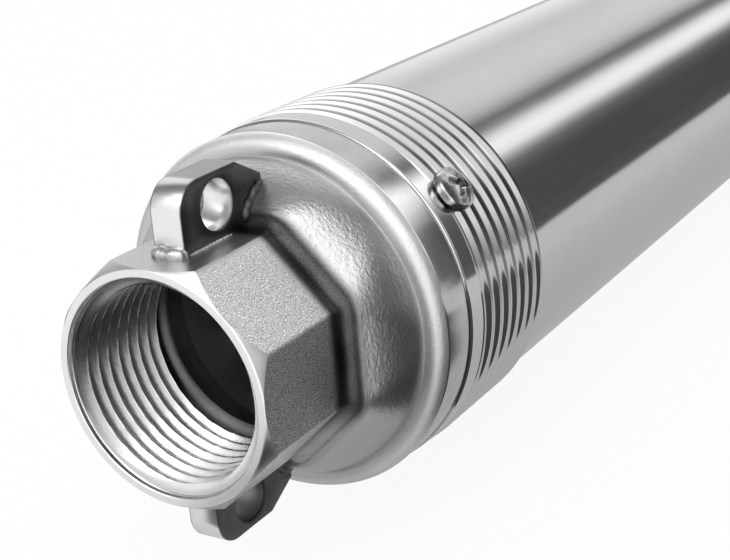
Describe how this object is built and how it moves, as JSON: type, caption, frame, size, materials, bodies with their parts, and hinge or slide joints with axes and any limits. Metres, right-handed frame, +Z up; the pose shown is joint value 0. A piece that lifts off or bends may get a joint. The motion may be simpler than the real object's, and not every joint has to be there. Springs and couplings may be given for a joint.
{
  "type": "borehole submersible pump",
  "caption": "Slim stainless borehole submersible pump with threaded outlet, rope eyes, check valve, multistage pump end, intake strainer and canned motor.",
  "frame": {"origin": "centre of the discharge face, on the pump's axis", "axes": "+X along the pump's axis from the outlet to the motor, +Z up through the upper rope eye, the pump lying on its side with the cable guard underneath"},
  "size_m": [0.5506, 0.0606, 0.0661],
  "materials": {
    "cast_steel": "investment cast stainless steel, blasted satin",
    "lug_steel": "stainless plate, satin",
    "polished_steel": "polished stainless tube",
    "machined_steel": "turned stainless steel",
    "screw_steel": "bright stainless fastener",
    "guard_steel": "pressed stainless sheet",
    "bell_steel": "turned stainless casting",
    "spring_steel": "stainless spring wire",
    "valve_plastic": "moulded black plastic",
    "bowl_plastic": "moulded dark plastic",
    "impeller_plastic": "moulded cream plastic",
    "cover_plastic": "moulded black plastic",
    "black_rubber": "nitrile rubber",
    "core_iron": "stacked electrical steel",
    "winding_copper": "varnished copper winding",
    "bush_bronze": "bearing bronze",
    "gland_brass": "turned brass"
  },
  "bodies": {
    "housing": {"discharge_head": "cast_steel", "rope_eye_upper": "lug_steel", "rope_eye_lower": "lug_steel", "pump_sleeve": "polished_steel", "lock_screw_upper": "screw_steel", "lock_screw_lower": "screw_steel", "valve_cage": "valve_plastic", "valve_seat": "machined_steel", "valve_spring": "spring_steel", "upper_bearing_housing": "bowl_plastic", "upper_bearing_bush": "black_rubber", "suction_casing": "cast_steel", "lower_bearing_bush": "black_rubber", "strainer": "polished_steel", "motor_studs": "screw_steel", "motor_nuts": "screw_steel", "cable_guard": "guard_steel", "guard_screws": "screw_steel", "upper_end_bell": "bell_steel", "cable_gland": "gland_brass", "shaft_seal": "black_rubber", "motor_tube": "polished_steel", "stator_core": "core_iron", "stator_winding": "winding_copper", "stator_can": "machined_steel", "upper_journal_bush": "bush_bronze", "lower_journal_bush": "bush_bronze", "thrust_pads": "machined_steel", "pad_carrier": "machined_steel", "lower_end_bell": "bell_steel", "diaphragm": "black_rubber", "diaphragm_cover": "cover_plastic", "cover_screws": "screw_steel", "fill_plug": "gland_brass", "diffuser_1": "bowl_plastic", "diffuser_2": "bowl_plastic", "diffuser_3": "bowl_plastic", "diffuser_4": "bowl_plastic", "diffuser_5": "bowl_plastic", "diffuser_6": "bowl_plastic", "diffuser_7": "bowl_plastic", "diffuser_8": "bowl_plastic"},
    "rotor": {"pump_shaft": "machined_steel", "journal_sleeve": "machined_steel", "impeller_nut": "machined_steel", "coupling": "machined_steel", "motor_shaft": "machined_steel", "rotor_core": "core_iron", "thrust_disc": "bush_bronze", "sand_slinger": "black_rubber", "impeller_1": "impeller_plastic", "impeller_2": "impeller_plastic", "impeller_3": "impeller_plastic", "impeller_4": "impeller_plastic", "impeller_5": "impeller_plastic", "impeller_6": "impeller_plastic", "impeller_7": "impeller_plastic", "impeller_8": "impeller_plastic"},
    "check_valve": {"valve_poppet": "valve_plastic", "valve_seal": "black_rubber"}
  },
  "joints": [
    {"name": "rotor_spin", "type": "hinge", "parent": "housing", "child": "rotor", "pos_m": [0.3146, 0, 0], "axis": [-1, 0, 0], "continuous": true},
    {"name": "valve_lift", "type": "slide", "parent": "housing", "child": "check_valve", "axis": [-1, 0, 0], "range_m": [0, 0.008], "stiffness_N_per_m": 120, "springref_m": -0.01, "deforming": ["valve_spring"]}
  ]
}
